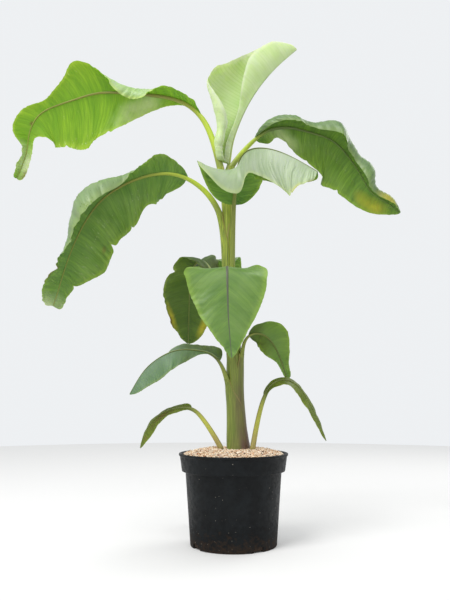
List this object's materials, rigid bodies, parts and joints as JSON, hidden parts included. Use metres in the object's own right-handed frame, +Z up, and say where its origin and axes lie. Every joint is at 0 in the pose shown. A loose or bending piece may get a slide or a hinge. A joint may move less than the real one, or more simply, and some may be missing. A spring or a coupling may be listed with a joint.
{
  "type": "potted banana plant",
  "caption": "Young banana plant in a round nursery pot, with a leaning pseudostem, arching petioles and broad drooping leaves.",
  "frame": {"origin": "middle of the pot's flat underside", "axes": "+Z up along the stem, -Y the plant's front, +X to the right seen from the front"},
  "size_m": [1.1808, 0.4793, 1.4944],
  "materials": {
    "pot": "black moulded polypropylene, dusty",
    "potting_mix": "moist peaty potting mix",
    "wood_chips": "dry pale wood chips with darker flecks",
    "pseudostem": "satin overlapping leaf sheaths, green with purple-brown flushes",
    "petiole": "satin yellow-green leaf stalk",
    "leaf_blade": "satin ribbed leaf, grey-green above and bright green below"
  },
  "bodies": {
    "root": {"pot": "pot", "potting_mix": "potting_mix", "wood_chips": "wood_chips", "pseudostem": "pseudostem", "back_blade_left": "leaf_blade", "back_blade_right": "leaf_blade", "back_left_blade_left": "leaf_blade", "back_left_blade_right": "leaf_blade", "back_left_midrib": "petiole", "back_left_petiole": "petiole", "back_midrib": "petiole", "back_petiole": "petiole", "base_left_blade_left": "leaf_blade", "base_left_blade_right": "leaf_blade", "base_left_midrib": "petiole", "base_left_petiole": "petiole", "base_right_blade_left": "leaf_blade", "base_right_blade_right": "leaf_blade", "base_right_midrib": "petiole", "base_right_petiole": "petiole", "front_blade_left": "leaf_blade", "front_blade_right": "leaf_blade", "front_midrib": "petiole", "front_petiole": "petiole", "front_right_blade_left_inner": "leaf_blade", "front_right_blade_left_outer": "leaf_blade", "front_right_blade_right_inner": "leaf_blade", "front_right_blade_right_outer": "leaf_blade", "front_right_midrib": "petiole", "front_right_petiole": "petiole", "left_blade_left_inner": "leaf_blade", "left_blade_left_outer": "leaf_blade", "left_blade_right_inner": "leaf_blade", "left_blade_right_outer": "leaf_blade", "left_midrib": "petiole", "left_petiole": "petiole", "low_left_blade_left": "leaf_blade", "low_left_blade_right": "leaf_blade", "low_left_midrib": "petiole", "low_left_petiole": "petiole", "low_right_blade_left": "leaf_blade", "low_right_blade_right": "leaf_blade", "low_right_midrib": "petiole", "low_right_petiole": "petiole", "spear_blade_left": "leaf_blade", "spear_blade_right": "leaf_blade", "spear_midrib": "petiole", "spear_petiole": "petiole", "upper_left_blade_left_inner": "leaf_blade", "upper_left_blade_left_outer": "leaf_blade", "upper_left_blade_right_inner": "leaf_blade", "upper_left_blade_right_outer": "leaf_blade", "upper_left_midrib": "petiole", "upper_left_petiole": "petiole", "upper_right_blade_left_inner": "leaf_blade", "upper_right_blade_left_outer": "leaf_blade", "upper_right_blade_right_inner": "leaf_blade", "upper_right_blade_right_outer": "leaf_blade", "upper_right_midrib": "petiole", "upper_right_petiole": "petiole"}
  },
  "joints": []
}
